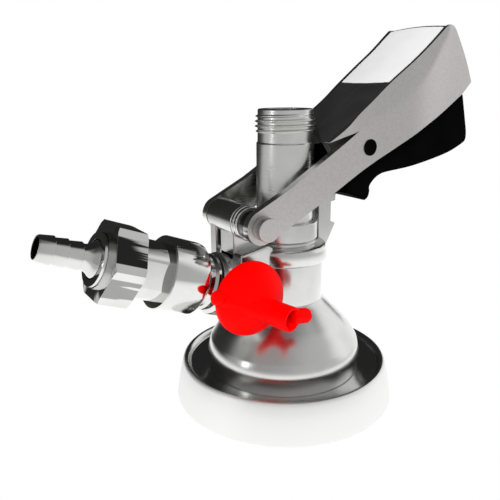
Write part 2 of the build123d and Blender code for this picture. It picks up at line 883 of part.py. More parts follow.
# Lever frame: two arms that widen into a pressed shell, open at the top and bottom
with BuildPart() as lever_hollow:
    with BuildSketch(lever_section(lever_span / 2)):
        with BuildLine():
            Polyline(
                (-40, 50),
                (-40, 150),
                (67.2, 150),
                (69.0, 142.6),
                (80.4, 126.0),
                (100, 126.0),
                (100, 50),
                (-40, 50),
            )
        make_face()
    extrude(amount=lever_span)
    with BuildSketch(Plane.XY.offset(plan_low)):
        with BuildLine():
            Polyline((-50, arm_inner), (16, arm_inner), shell_points[0])
            Spline(*shell_points)
            Line(shell_points[-1], (shell_reach, 0))
            Line((shell_reach, 0), (-50, 0))
            Line((-50, 0), (-50, arm_inner))
        make_face()
        mirror(about=Plane.XZ)
    extrude(amount=plan_high - plan_low, mode=Mode.INTERSECT)

with BuildPart() as lever_frame:
    with BuildSketch(lever_section(lever_span / 2)):
        with BuildLine():
            Polyline(
                (-23.9, 80.4),
                (-8.6, 87.4),
                (16.3, 101.7),
                (27.6, 108.7),
                (23.2, 107.9),
                (15.5, 105.1),
                (8.0, 102.3),
                (17.2, 107.4),
                (23.5, 112.0),
                (30.3, 116.8),
                (38.7, 123.3),
                (55, 134.8),
                (66.0, 143.7),
                (67.6, 144.6),
                (69.4, 144.5),
                (71.0, 143.2),
                (75.2, 137.6),
                (80.2, 130.4),
                (84.6, 122.9),
                (79.5, 118.4),
                (66.6, 111.0),
                (53.1, 104.6),
                (25.2, 91.1),
                (11.8, 84.1),
                (-3.9, 76.1),
                (-18.1, 69.3),
                (-23.9, 80.4),
            )
        make_face()
        with Locations((pivot_x, pivot_z)):
            Circle(arm_end_radius)
    extrude(amount=lever_span)
    with BuildSketch(Plane.XY.offset(plan_low)):
        with BuildLine():
            Line((-50, arm_outer), (28, arm_outer))
            Spline(
                (28, arm_outer),
                (40, 17.3),
                (52, 18.0),
                (70, 16.4),
                (shell_reach, 14.2),
                tangents=[(1, 0.05), (1, -0.06)],
            )
            Line((shell_reach, 14.2), (shell_reach, 0))
            Line((shell_reach, 0), (-50, 0))
            Line((-50, 0), (-50, arm_outer))
        make_face()
        mirror(about=Plane.XZ)
    extrude(amount=plan_high - plan_low, mode=Mode.INTERSECT)
    add(lever_hollow.part, mode=Mode.SUBTRACT)
    # Holes for the pivot and the trigger's pin, and blind slots for the link pins
    with BuildSketch(lever_section(lever_span / 2)):
        with Locations((pivot_x, pivot_z)):
            Circle(pivot_pin_radius + running_gap)
        with Locations((trigger_x, trigger_z)):
            Circle(trigger_pin_radius + seat_gap)
    extrude(amount=lever_span, mode=Mode.SUBTRACT)
    slot_middle = 0.5 * (link_slot_near + link_slot_far)
    slot_x = pivot_x + slot_middle * cos(radians(link_slot_angle))
    slot_z = pivot_z + slot_middle * sin(radians(link_slot_angle))
    with BuildSketch(lever_section(arm_inner + link_slot_depth)):
        with Locations((slot_x, slot_z)):
            SlotCenterToCenter(link_slot_far - link_slot_near, 2 * link_slot_half, rotation=link_slot_angle)
    extrude(amount=2 * (arm_inner + link_slot_depth), mode=Mode.SUBTRACT)
finish(lever_frame.part, "lever_frame")

# Black insert on top of the handle, arched round the probe at its front
with BuildPart() as handle_insert:
    with BuildSketch(lever_section(lever_span / 2)):
        with BuildLine():
            Polyline(
                (8.4, 100.4),
                (17.2, 107.0),
                (38.7, 123.1),
                (66.6, 144.2),
                (68.3, 143.4),
                (73.0, 136.4),
                (64.4, 134.2),
                (40.0, 115.4),
                (24.0, 103.0),
                (9.6, 92.2),
                (8.4, 100.4),
            )
        make_face()
    extrude(amount=lever_span)
    with BuildSketch(Plane.XY.offset(plan_low)):
        with BuildLine():
            Polyline((7.5, 0), (7.5, arm_inner - 0.5), (16, arm_inner - 0.3), insert_points[0])
            Spline(*insert_points)
            Polyline(insert_points[-1], (shell_reach, 0), (7.5, 0))
        make_face()
        mirror(about=Plane.XZ)
    extrude(amount=plan_high - plan_low, mode=Mode.INTERSECT)
    # Clearance for the probe, the lock post's swing and the hollow underneath
    with BuildSketch(Plane.XY.offset(plan_low)):
        Circle(insert_arch_radius)
    extrude(amount=plan_high - plan_low, mode=Mode.SUBTRACT)
    with BuildSketch(lever_section(latch_half_width)):
        with Locations((pivot_x, pivot_z)):
            Circle(latch_radius)
    extrude(amount=2 * latch_half_width, mode=Mode.SUBTRACT)
    with BuildSketch(lever_section(insert_half_width)):
        with BuildLine():
            Polyline(
                (30, 113.4),
                (64.8, 139.6),
                (66.4, 138.0),
                (69.0, 130.0),
                (30, 100.0),
                (30, 113.4),
            )
        make_face()
    extrude(amount=2 * insert_half_width, mode=Mode.SUBTRACT)
finish(handle_insert.part, "handle_insert")

# Trigger pin, and the grip that swings on it below the handle
with BuildPart() as trigger_pin:
    with BuildSketch(lever_section(arm_outer)):
        with Locations((trigger_x, trigger_z)):
            Circle(trigger_pin_radius)
    extrude(amount=2 * arm_outer)
finish(trigger_pin.part, "trigger_pin")

with BuildPart() as trigger_grip:
    with BuildSketch(lever_section(grip_half_width)):
        with BuildLine():
            Polyline(
                (20.5, 82.0),
                (29.9, 78.2),
                (32.0, 79.5),
                (32.4, 81.6),
                (32.3, 83.8),
                (34.5, 86.2),
                (37.4, 87.8),
                (41.3, 88.6),
                (55.7, 89.8),
                (71.9, 92.6),
                (80.4, 94.8),
                (87.2, 97.6),
                (88.6, 99.2),
                (88.4, 102.0),
                (87.2, 106.5),
                (83.8, 118.1),
                (78.0, 119.0),
                (60.0, 113.6),
                (40.0, 107.0),
                (30.0, 104.4),
                (24.0, 101.8),
                (21.0, 97.0),
                (20.5, 82.0),
            )
        make_face()
    extrude(amount=2 * grip_half_width)
    with BuildSketch(lever_section(10.2)):
        with BuildLine():
            Polyline(
                (38.0, 93.0),
                (56.0, 93.4),
                (72.0, 96.4),
                (83.6, 100.4),
                (84.4, 103.0),
                (80.8, 116.0),
                (78.0, 125.0),
                (40.0, 125.0),
                (38.0, 93.0),
            )
        make_face()
    extrude(amount=20.4, mode=Mode.SUBTRACT)
    with BuildSketch(lever_section(5.2)):
        with Locations((trigger_x, trigger_z)):
            Circle(6.4)
        with Locations((trigger_x + 4.4, trigger_z + 6)):
            Rectangle(5.2, 12)
    extrude(amount=10.4, mode=Mode.SUBTRACT)
    with BuildSketch(lever_section(grip_half_width + 1)):
        with Locations((trigger_x, trigger_z)):
            Circle(trigger_pin_radius + running_gap)
    extrude(amount=2 * grip_half_width + 2, mode=Mode.SUBTRACT)
    with BuildSketch(lever_section(latch_half_width)):
        with Locations((pivot_x, pivot_z)):
            Circle(latch_radius)
    extrude(amount=2 * latch_half_width, mode=Mode.SUBTRACT)
finish(trigger_grip.part, "trigger_grip")

# Torsion spring round the trigger's pin, one leg on the grip and one under the insert
coil_length = 5.25 * trigger_coil_pitch
with BuildPart() as trigger_spring:
    with BuildLine() as coil:
        turns = Helix(
            pitch=trigger_coil_pitch,
            height=coil_length,
            radius=trigger_coil_radius,
            center=(trigger_x, 0.5 * coil_length, trigger_z),
            direction=(0, -1, 0),
        )
        Line(turns @ 0, turns @ 0 - (turns % 0) * 3.4)
        Line(turns @ 1, turns @ 1 + (turns % 1) * 14.8)
    coil_path = coil.line
    with BuildSketch(Plane(origin=coil_path @ 0, z_dir=coil_path % 0)):
        Circle(trigger_wire_radius)
    sweep(path=coil_path)
finish(trigger_spring.part, "trigger_spring")
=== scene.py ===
from math import cos, pi, radians, sin, sqrt

import bmesh
import bpy
import numpy as np
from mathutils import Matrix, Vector


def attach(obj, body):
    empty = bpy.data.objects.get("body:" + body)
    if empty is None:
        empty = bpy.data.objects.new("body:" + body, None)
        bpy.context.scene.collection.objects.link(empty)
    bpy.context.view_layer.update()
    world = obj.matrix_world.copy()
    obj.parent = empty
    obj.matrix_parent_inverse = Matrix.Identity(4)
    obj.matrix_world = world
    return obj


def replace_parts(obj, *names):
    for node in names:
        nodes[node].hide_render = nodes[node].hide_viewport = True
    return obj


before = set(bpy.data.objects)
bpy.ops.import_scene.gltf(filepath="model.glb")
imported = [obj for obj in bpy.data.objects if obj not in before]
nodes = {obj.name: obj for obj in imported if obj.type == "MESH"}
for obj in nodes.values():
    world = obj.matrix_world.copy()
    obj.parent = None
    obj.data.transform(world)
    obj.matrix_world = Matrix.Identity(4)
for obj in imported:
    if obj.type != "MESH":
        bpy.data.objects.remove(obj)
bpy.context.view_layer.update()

mm = 0.001
print("stage: frame loaded")


# Shader arithmetic: a value wraps a socket or a number, and + - * / ** build Math nodes
class Value:
    def __init__(self, tree, source):
        self.tree = tree
        self.source = source

    def put(self, socket):
        if isinstance(self.source, (int, float)):
            socket.default_value = self.source
        else:
            self.tree.links.new(self.source, socket)

    def math(self, operation, *others):
        node = self.tree.nodes.new("ShaderNodeMath")
        node.operation = operation
        for index, item in enumerate((self,) + others):
            if not isinstance(item, Value):
                item = Value(self.tree, item)
            item.put(node.inputs[index])
        return Value(self.tree, node.outputs[0])

    def __add__(self, other):
        return self.math("ADD", other)

    def __radd__(self, other):
        return self.math("ADD", other)

    def __sub__(self, other):
        return self.math("SUBTRACT", other)

    def __rsub__(self, other):
        return Value(self.tree, other).math("SUBTRACT", self)

    def __mul__(self, other):
        return self.math("MULTIPLY", other)

    def __rmul__(self, other):
        return self.math("MULTIPLY", other)

    def __truediv__(self, other):
        return self.math("DIVIDE", other)

    def __rtruediv__(self, other):
        return Value(self.tree, other).math("DIVIDE", self)

    def __pow__(self, other):
        return self.math("POWER", other)

    def ramp(self, low, high, start=0.0, end=1.0):
        # Smooth step from start to end while the value goes from low to high.
        if low > high:
            low, high, start, end = high, low, end, start
        node = self.tree.nodes.new("ShaderNodeMapRange")
        node.interpolation_type = "SMOOTHSTEP"
        node.clamp = True
        self.put(node.inputs["Value"])
        for name, number in zip(("From Min", "From Max", "To Min", "To Max"), (low, high, start, end)):
            node.inputs[name].default_value = number
        return Value(self.tree, node.outputs["Result"])

    def blend(self, first, second):
        # Colour that goes from first to second as the value goes from 0 to 1.
        node = self.tree.nodes.new("ShaderNodeMix")
        node.data_type = "RGBA"
        self.put(node.inputs["Factor"])
        for socket, colour in ((node.inputs["A"], first), (node.inputs["B"], second)):
            if isinstance(colour, Value):
                colour.put(socket)
            else:
                socket.default_value = (*colour, 1.0)
        return Value(self.tree, node.outputs["Result"])


class Recipe:
    # A material's node tree with one method that makes any node.

    def __init__(self, name):
        self.material = bpy.data.materials.new(name)
        self.material.use_nodes = True
        self.tree = self.material.node_tree
        self.shader = self.tree.nodes["Principled BSDF"]
        self.place = self.node("ShaderNodeTexCoord").outputs["Object"]

    def node(self, kind, settings=None, sockets=None):
        node = self.tree.nodes.new(kind)
        for key, value in (settings or {}).items():
            setattr(node, key, value)
        for key, value in (sockets or {}).items():
            if isinstance(value, Value):
                value.put(node.inputs[key])
            elif isinstance(value, bpy.types.NodeSocket):
                self.tree.links.new(value, node.inputs[key])
            else:
                node.inputs[key].default_value = value
        return node

    def noise(self, scale, detail=3.0, stretch=(1, 1, 1), roughness=0.55):
        mapped = self.node("ShaderNodeMapping", sockets={"Vector": self.place, "Scale": stretch})
        noise = self.node(
            "ShaderNodeTexNoise",
            sockets={"Vector": mapped.outputs[0], "Scale": scale, "Detail": detail, "Roughness": roughness},
        )
        return Value(self.tree, noise.outputs["Fac"])

    def bump(self, height, strength, distance):
        node = self.node("ShaderNodeBump", sockets={"Strength": strength, "Distance": distance})
        height.put(node.inputs["Height"])
        self.tree.links.new(node.outputs["Normal"], self.shader.inputs["Normal"])

    def set(self, **sockets):
        for key, value in sockets.items():
            socket = self.shader.inputs[key.replace("_", " ")]
            if isinstance(value, Value):
                value.put(socket)
            elif isinstance(value, tuple):
                socket.default_value = (*value, 1.0)
            else:
                socket.default_value = value
        return self.material


def polishedSteel(name, look):
    # Bright steel: cloudy polish, faint scratches and a slow waviness.
    recipe = Recipe(name)
    cloud = recipe.noise(look["cloudScale"], 4.0)
    fine = recipe.noise(look["scratchScale"], 2.0, look["scratchStretch"])
    tone = cloud.ramp(0.3, 0.7).blend(look["dark"], look["light"])
    roughness = look["roughness"] + look["roughnessSpread"] * (cloud - 0.5)
    roughness = roughness + look["scratchDepth"] * (fine - 0.5)
    wave = recipe.noise(look["waveScale"], 1.0)
    recipe.bump(wave + 0.25 * fine, look["bump"], 0.0004)
    return recipe.set(Base_Color=tone, Metallic=look["metallic"], Roughness=roughness)


def mouldedPlastic(name, look):
    # Plastic with fine moulded grain and slight wear in its gloss.
    recipe = Recipe(name)
    grain = recipe.noise(look["grainScale"], 2.0)
    cloud = recipe.noise(look["cloudScale"], 3.0)
    tone = cloud.ramp(0.25, 0.75).blend(look["dark"], look["light"])
    recipe.bump(grain, look["bump"], 0.0002)
    roughness = look["roughness"] + look["roughnessSpread"] * (cloud - 0.5)
    return recipe.set(Base_Color=tone, Roughness=roughness, Specular_IOR_Level=look["specular"])


castLook = {"dark": (0.60, 0.60, 0.585), "light": (0.68, 0.68, 0.665), "cloudScale": 60.0,
            "scratchScale": 900.0,
            "scratchStretch": (1, 1, 0.15), "roughness": 0.14, "roughnessSpread": 0.05,
            "scratchDepth": 0.03,
            "waveScale": 70.0, "bump": 0.04, "metallic": 1.0}
castSteel = polishedSteel("cast steel", {**castLook, "roughness": 0.24})
chromeSteel = polishedSteel("turned steel", {**castLook, "roughness": 0.09, "bump": 0.03})
tubeSteel = polishedSteel("fine turned steel", {**castLook, "dark": (0.66, 0.66, 0.64),
                                                "light": (0.74, 0.74, 0.72),
                          "roughness": 0.28, "scratchStretch": (0.05, 0.05, 1.0), "scratchDepth": 0.06,
                                                "bump": 0.008})


def spunSteel(look):
    # Steel of the skirt: satin outside, polished inside the rim.
    recipe = Recipe("spun steel")
    split = recipe.node("ShaderNodeSeparateXYZ", sockets={"Vector": recipe.place})
    x, y = Value(recipe.tree, split.outputs["X"]), Value(recipe.tree, split.outputs["Y"])
    outside = ((x * x + y * y) ** 0.5).ramp(look["innerRadius"], look["outerRadius"])
    fine = recipe.noise(look["grainScale"], 3.0)
    cloud = recipe.noise(look["cloudScale"], 3.0)
    tone = outside.blend(look["polished"], look["satin"])
    recipe.bump(fine, look["bump"], 0.0002)
    roughness = look["roughness"] + look["satinSpread"] * outside + look["grainSpread"] * (cloud - 0.5)
    roughness = roughness + look["grainSpread"] * (fine - 0.5)
    return recipe.set(Base_Color=tone, Metallic=1.0 - look["diffuse"] * outside, Roughness=roughness)


skirtSteel = spunSteel({"innerRadius": 0.0398, "outerRadius": 0.0412, "grainScale": 2600.0,
                        "cloudScale": 70.0, "bump": 0.12,
                        "polished": (0.62, 0.62, 0.61), "satin": (0.76, 0.76, 0.755), "roughness": 0.15,
                        "satinSpread": 0.30, "grainSpread": 0.06, "diffuse": 0.22})
satinSteel = polishedSteel("satin steel", {**castLook, "dark": (0.53, 0.51, 0.50),
                                           "light": (0.60, 0.58, 0.57),
                           "cloudScale": 1400.0, "roughness": 0.42, "scratchStretch": (1, 1, 1),
                                           "scratchDepth": 0.12})
# Lighter copy of the lever steel for the plate walls: a painted highlight standing in for the bright
# rounded edges
highlightEdgeSteel = polishedSteel("painted highlight edge", {**castLook, "dark": (0.82, 0.82, 0.81),
                                            "light": (0.92, 0.92, 0.91), "roughness": 0.22})
darkSteel = polishedSteel("dark steel", {**castLook, "dark": (0.18, 0.18, 0.175),
                                         "light": (0.28, 0.28, 0.27), "roughness": 0.25})
blackLook = {"dark": (0.006, 0.006, 0.006), "light": (0.011, 0.011, 0.011), "grainScale": 3500.0,
             "cloudScale": 90.0,
             "bump": 0.25, "roughness": 0.52, "roughnessSpread": 0.1, "specular": 0.35}
insertPlastic = mouldedPlastic("insert plastic", {**blackLook, "dark": (0.020, 0.019, 0.019),
                                                  "light": (0.027, 0.026, 0.026)})
gripPlastic = mouldedPlastic("grip plastic", {**blackLook, "dark": (0.001, 0.001, 0.001),
                                              "light": (0.002, 0.002, 0.002),
                             "roughness": 0.8, "specular": 0.01})
redPlastic = mouldedPlastic("red plastic", {**blackLook, "dark": (0.84, 0.0, 0.0),
                                            "light": (0.94, 0.0003, 0.0),
                            "bump": 0.05, "roughness": 0.5, "specular": 0.04})
sealRubber = mouldedPlastic("seal rubber", {**blackLook, "dark": (0.012, 0.012, 0.012),
                                            "light": (0.02, 0.02, 0.02), "roughness": 0.6})
labelPaper = mouldedPlastic("label film", {**blackLook, "dark": (0.86, 0.86, 0.86),
                                           "light": (0.90, 0.90, 0.90),
                            "bump": 0.03, "roughness": 0.35, "specular": 0.4})
print("stage: materials")


def addPiece(name, points, faces, material, body, bevel=0.0, segments=3, sharpAngle=32.0):
    # One piece from points in millimetres; edges sharper than sharpAngle get a rounded bevel.
    mesh = bpy.data.meshes.new(name)
    mesh.from_pydata([tuple(p) for p in (np.asarray(points, dtype=float) * mm)], [], faces)
    mesh.update()
    work = bmesh.new()
    work.from_mesh(mesh)
    bmesh.ops.remove_doubles(work, verts=work.verts, dist=1e-7)
    bmesh.ops.recalc_face_normals(work, faces=work.faces)
    for face in work.faces:
        face.smooth = True
    for edge in work.edges:
        if len(edge.link_faces) == 2 and edge.calc_face_angle(0) > radians(sharpAngle):
            edge.smooth = False
    work.to_mesh(mesh)
    work.free()
    piece = bpy.data.objects.new(name, mesh)
    bpy.context.scene.collection.objects.link(piece)
    materials = material if isinstance(material, (list, tuple)) else [material]
    for item in materials:
        mesh.materials.append(item)
    if bevel > 0:
        modifier = piece.modifiers.new("edge", "BEVEL")
        modifier.width = bevel * mm
        modifier.segments = segments
        modifier.limit_method = "ANGLE"
        modifier.angle_limit = radians(sharpAngle)
        modifier.harden_normals = True
    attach(piece, body)
    return piece


def lathe(name, profile, material, body, origin=(0, 0, 0), axis=(0, 0, 1), across=(1, 0, 0), count=128,
          bevel=0.25,
          closed=True, reach=None):
    # Turned piece: point = origin + along * axis + radius * (cos t * across + sin t * side).
    axis = np.array(axis, dtype=float)
    axis = axis / np.linalg.norm(axis)
    across = np.array(across, dtype=float)
    across = across - axis * across.dot(axis)
    across = across / np.linalg.norm(across)
    side = np.cross(axis, across)
    profile = np.array(profile, dtype=float)
    turn = np.linspace(0, 2 * pi, count, endpoint=False)
    ring = np.cos(turn)[:, None] * across + np.sin(turn)[:, None] * side
    radius = np.repeat(profile[None, :, 1], count, axis=0)
    if reach is not None:
        radius = reach(turn, profile[:, 0], radius)
    points = np.array(origin) + profile[None, :, 0, None] * axis + radius[:, :, None] * ring[:, None, :]
    rows = len(profile)
    faces = []
    last = rows if closed else rows - 1
    for i in range(count):
        j = (i + 1) % count
        for k in range(last):
            m = (k + 1) % rows
            faces.append((i * rows + k, j * rows + k, j * rows + m, i * rows + m))
    return addPiece(name, points.reshape(-1, 3), faces, material, body, bevel)


def slab(name, outline, low, high, material, body, bevel=0.4, segments=3):
    # Flat piece: an outline in X and Z, from y = low to y = high.
    count = len(outline)
    points = [(x, low, z) for x, z in outline] + [(x, high, z) for x, z in outline]
    faces = [tuple(range(count)), tuple(range(2 * count - 1, count - 1, -1))]
    faces += [(i, (i + 1) % count, count + (i + 1) % count, count + i) for i in range(count)]
    return addPiece(name, points, faces, material, body, bevel, segments)


def smoothPath(points, steps=6):
    # Cardinal curve through the points, steps per span.
    points = np.array(points, dtype=float)
    out = []
    for i in range(len(points) - 1):
        a = points[max(i - 1, 0)]
        b, c = points[i], points[i + 1]
        d = points[min(i + 2, len(points) - 1)]
        for s in range(steps):
            t = s / steps
            bend = (2 * a - 5 * b + 4 * c - d) * t * t + (3 * b - a - 3 * c + d) * t ** 3
            out.append(0.5 * (2 * b + (c - a) * t + bend))
    out.append(points[-1])
    return np.array(out)


# Body and skirt: profiles in (height, radius) turned once round Z, corners bevelled
bodyProfile = [(0, 28), (0, 30), (18.0, 30), (18.6, 30.7), (19.5, 30.8), (24.2, 29.7), (24.6, 29.3),
               (29.4, 26.4),
               (33.4, 22.6), (37.0, 19.0), (39.4, 16.6), (40.4, 15.6), (41.2, 15.0), (56.9, 15.0),
               (57.0, 16.0),
               (58.0, 16.5), (61.4, 16.5), (62.5, 16.3), (63.2, 15.8), (63.55, 15.0), (63.6, 13.8),
               (64.1, 12.2), (65.1, 12.2),
               (65.7, 12.8), (72.4, 12.8), (72.4, 10.87), (50.5, 10.87), (49.7, 11.6), (24, 11.6),
               (24, 9.1), (23.2, 8.3),
               (20, 8.3), (20, 12.5), (13.3, 12.5), (13.3, 17.05), (12, 17.05), (12, 28)]
lathe("bodyShell", bodyProfile, castSteel, "body", count=192, bevel=0.3)
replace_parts(bpy.data.objects["bodyShell"], "body_casting")
skirtProfile = [(0, 41.8), (0, 43.5), (0.5, 43.95), (9.3, 42.5), (14.4, 41.4), (15.4, 41.0),
                (15.9, 40.4), (15.9, 39.8),
                (15.3, 39.0), (13.4, 38.2), (12.3, 36.0), (12.0, 30.03), (10.2, 30.03), (10.5, 36.5),
                (11.6, 39.0), (9.3, 40.3)]
skirt = lathe("skirtBell", skirtProfile, skirtSteel, "body", count=192, bevel=0.35)
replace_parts(skirt, "skirt_ring")
print("stage: body and skirt")

# Gas inlet: pieces turned on an axis that rises 21 degrees towards -X
gasTilt = radians(21.0)
gasAxis = (-cos(gasTilt), 0, sin(gasTilt))
gasUp = (sin(gasTilt), 0, cos(gasTilt))
gasOrigin = (0, 0, 39.9)
neckLook = {"halfFlats": 9.1, "low": 57.72, "high": 67.98}


def gasLathe(name, profile, material, body, **options):
    return lathe(name, profile, material, body, origin=gasOrigin, axis=gasAxis, across=gasUp, **options)


def neckFlats(turn, along, radius):
    # Two flats across the neck: the radius is capped at half the flats over the sine of the angle.
    cap = neckLook["halfFlats"] / np.maximum(np.abs(np.sin(turn)), 0.05)[:, None]
    onNeck = (along > neckLook["low"]) & (along < neckLook["high"])
    return np.where(onNeck[None, :], np.minimum(radius, cap), radius)


gasLathe("gasBranch", [(16.2, 4), (16.2, 8.5), (18, 8.5), (20.5, 10.6), (23, 11.6), (35.6, 11.6),
                       (36.9, 10.4), (36.9, 7.05), (31, 7.05), (31, 4)],
         castSteel, "body", bevel=0.5)
gasLathe("gasAdapter", [(37.9, 4.1), (37.9, 10.4), (38.9, 10.35), (39.8, 9.5), (41.3, 9.2),
                        (42.6, 10.0), (43.0, 11.2), (43.4, 12.0),
                        (44.4, 12.9), (45.6, 13.1), (57.3, 13.1), (57.7, 12.7), (57.75, 10.4),
                        (67.95, 10.4),
                        (68.0, 9.6), (73.4, 9.6), (73.7, 9.1), (73.7, 6.55), (66, 6.55), (66, 4.1)],
         chromeSteel, "body", bevel=0.12, count=192, reach=neckFlats)
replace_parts(bpy.data.objects["gasAdapter"], "gas_adapter")

# Union nut: hexagon whose faces meet a chamfer cone; radius = min(flat / cos(angle in the sector), chamfer)
nutLook = {"flats": 25.35, "start": 68.3, "end": 79.0, "chamferRadius": 13.9, "faceRadius": 13.6,
           "slope": 0.55}
turns = np.linspace(0, 2 * pi, 192, endpoint=False)
sector = (turns + pi / 6) % (pi / 3) - pi / 6
hexRadius = nutLook["flats"] / 2 / np.cos(sector)
nutColumns = []
for radius in hexRadius:
    drop = max(radius - nutLook["chamferRadius"], 0) * nutLook["slope"] + 0.02
    low, high = nutLook["start"], nutLook["end"]
    nutColumns.append([(low, 9.7), (low, min(radius, nutLook["faceRadius"])), (low + drop, radius),
                       (high - drop, radius), (high, min(radius, nutLook["faceRadius"])),
                       (high, 9.6), (80.2, 9.6), (80.2, 8.7), (80.5, 8.7), (80.5, 9.2), (81.3, 9.1),
                       (81.3, 6.75), (77.0, 6.75), (77.0, 9.7)])
nutColumns = np.array(nutColumns)
axisVector, upVector = np.array(gasAxis), np.array(gasUp)
sideVector = np.cross(axisVector, upVector)
nutRing = np.cos(turns)[:, None] * upVector + np.sin(turns)[:, None] * sideVector
nutPoints = np.array(gasOrigin) + nutColumns[:, :, 0, None] * axisVector + nutColumns[:, :, 1,
                                                            None] * nutRing[:, None, :]
rows = nutColumns.shape[1]
nutFaces = [(i * rows + k, ((i + 1) % 192) * rows + k, ((i + 1) % 192) * rows + (k + 1) % rows,
             i * rows + (k + 1) % rows)
            for i in range(192) for k in range(rows)]
nut = addPiece("unionNut", nutPoints.reshape(-1, 3), nutFaces, chromeSteel, "nut", 0.18, 2, 25.0)
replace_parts(nut, "gas_hose_nut")
tail = gasLathe("hoseTail", [(75.0, 4.3), (75.0, 9.3), (76.9, 9.3), (76.9, 6.4), (81.3, 6.35),
                             (81.9, 5.9), (82.6, 5.2), (83.6, 4.6),
                             (84.8, 4.3), (86.0, 4.25), (86.1, 4.75), (90.65, 4.2), (90.75, 4.75),
                             (95.0, 4.2), (95.1, 4.75),
                             (99.4, 4.2), (99.95, 3.9), (99.95, 3.6), (75.8, 3.5)], chromeSteel,
                "tail", bevel=0.08, count=96)
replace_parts(tail, "hose_tail")
print("stage: gas inlet")

# Relief valve: boss on the branch's near side
reliefOrigin = (-26.5, 0, 50.1)
lathe("reliefBoss", [(4, 6.5), (4, 9.5), (12.6, 9.5), (13.2, 9.0), (13.2, 6.5)], castSteel, "body",
      origin=reliefOrigin, axis=(0, -1, 0), bevel=0.3)

# Pivot: profiles in (distance towards the near side, radius) turned round the hinge axis
pivotOrigin = (-21.0, 0, 74.8)


def pivotLathe(name, profile, material, **options):
    return lathe(name, profile, material, "body", origin=pivotOrigin, axis=(0, -1, 0), count=96, **options)


pivotLathe("pivotBarrel", [(-12.9, 3.06), (-12.9, 6.2), (4.8, 6.2), (4.8, 3.06)], castSteel, bevel=0.5)
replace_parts(pivotLathe("pivotRing", [(4.85, 3.06), (4.85, 5.9), (5.2, 6.25), (6.2, 6.25), (6.5, 5.85),
                                     (6.8, 5.85), (7.1, 6.25), (8.1, 6.25), (8.5, 5.9), (8.5, 3.06)],
                        chromeSteel, bevel=0.12), "pivot_ring")
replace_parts(pivotLathe("pivotSpacer", [(8.65, 3.06), (8.65, 5.45), (13.0, 5.45), (13.0, 3.06)],
                       darkSteel, bevel=0.2), "pivot_spacer")
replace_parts(pivotLathe("pivotPin", [(-19, 0.01), (-19, 2.98), (16.3, 2.98), (16.3, 4.25),
                                    (20.45, 4.25), (20.65, 4.05), (20.65, 0.01)],
                        satinSteel, bevel=0.12), "pivot_pin")
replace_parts(pivotLathe("pivotCap", [(-16.3, 3.1), (-16.3, 4.85), (-17.5, 4.85), (-18.6, 4.5),
                                    (-19.6, 3.7), (-20.3, 2.4), (-20.65, 0.8), (-20.68, 0.01),
                                    (-19.2, 0.01), (-19.2, 3.1)],
                        darkSteel, bevel=0.0), "pivot_cap")
farWeb = [(-26.6, 73.3), (-26.6, 60.0), (-23.0, 56.0), (-13.0, 56.0), (-11.2, 66.0), (-15.2, 73.8)]
slab("farWeb", farWeb, 7.0, 11.5, castSteel, "body", 0.6)
nearWeb = [(-25.6, 71.3), (-25.6, 54.5), (-12.0, 54.5), (-11.2, 64.5), (-15.6, 72.3)]
slab("nearWeb", nearWeb, -4.2, 5.6, castSteel, "body", 0.6)
slab("webBlock", [(-25.6, 64.0), (-25.6, 54.5), (-12.0, 54.5), (-11.2, 64.5), (-14.0, 66.0)], -9.5,
     9.5, castSteel, "body", 1.2)
postOutline = [(14.8, 57.6), (14.8, 84.4), (23.3, 84.4), (23.3, 77.4), (21.1, 77.1), (21.1, 69.2),
               (23.5, 68.2), (19.1, 60.0), (16.0, 57.6)]
slab("lockPost", postOutline, -2.95, 2.95, castSteel, "body", 0.35)
print("stage: pivot and post")

# Probe: turned tube with step, and the outlet thread as a helical ridge
probeProfile = [(13.5, 3.9), (13.5, 9.0), (14.1, 9.6), (17.0, 9.6), (17.0, 7.0), (48.0, 7.0),
                (50.0, 9.8), (51.0, 10.8), (64.45, 10.8), (64.45, 8.4),
                (67.15, 8.4), (67.15, 10.8), (68.05, 10.8), (68.05, 8.4), (70.75, 8.4), (70.75, 10.8),
                (101.6, 10.8),
                (102.1, 10.35), (113.7, 10.29), (113.98, 10.0), (113.98, 7.02), (104, 7.02),
                (104, 5.2), (93, 5.2), (93, 3.4), (14, 3.4)]
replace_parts(lathe("probeTube", probeProfile, tubeSteel, "probe", count=160, bevel=0.15), "probe_tube")
threadLook = {"pitch": 1.814, "root": 10.2, "crest": 11.3, "low": 105.17, "high": 112.2, "fade": 0.6,
              "samples": 72}
threadTurns = (threadLook["high"] - threadLook["low"]) / threadLook["pitch"]
ridgeTurns = np.linspace(0, threadTurns, int(threadTurns * threadLook["samples"]))
grow = np.clip(ridgeTurns / threadLook["fade"], 0,
               1) * np.clip((threadTurns - ridgeTurns) / threadLook["fade"], 0, 1)
height = (threadLook["crest"] - threadLook["root"]) * grow + 0.02
# Right-hand ridge: angle grows with height; section is a trapezium from root to crest
threadSection = [(-0.62, 0.0), (-0.16, 1.0), (0.16, 1.0), (0.62, 0.0)]
threadPoints = []
for turnCount, size in zip(ridgeTurns, height):
    angle = 2 * pi * turnCount
    for offset, share in threadSection:
        radius = threadLook["root"] + share * size
        threadPoints.append((radius * cos(angle), radius * sin(angle),
                             threadLook["low"] + turnCount * threadLook["pitch"] + offset))
threadFaces = [(4 * i + k, 4 * i + (k + 1) % 4, 4 * i + 4 + (k + 1) % 4,
                4 * i + 4 + k) for i in range(len(ridgeTurns) - 1) for k in range(4)]
threadFaces += [(0, 1, 2, 3), tuple(4 * (len(ridgeTurns) - 1) + k for k in (3, 2, 1, 0))]
addPiece("outletThread", threadPoints, threadFaces, tubeSteel, "probe", 0.0)
print("stage: probe")

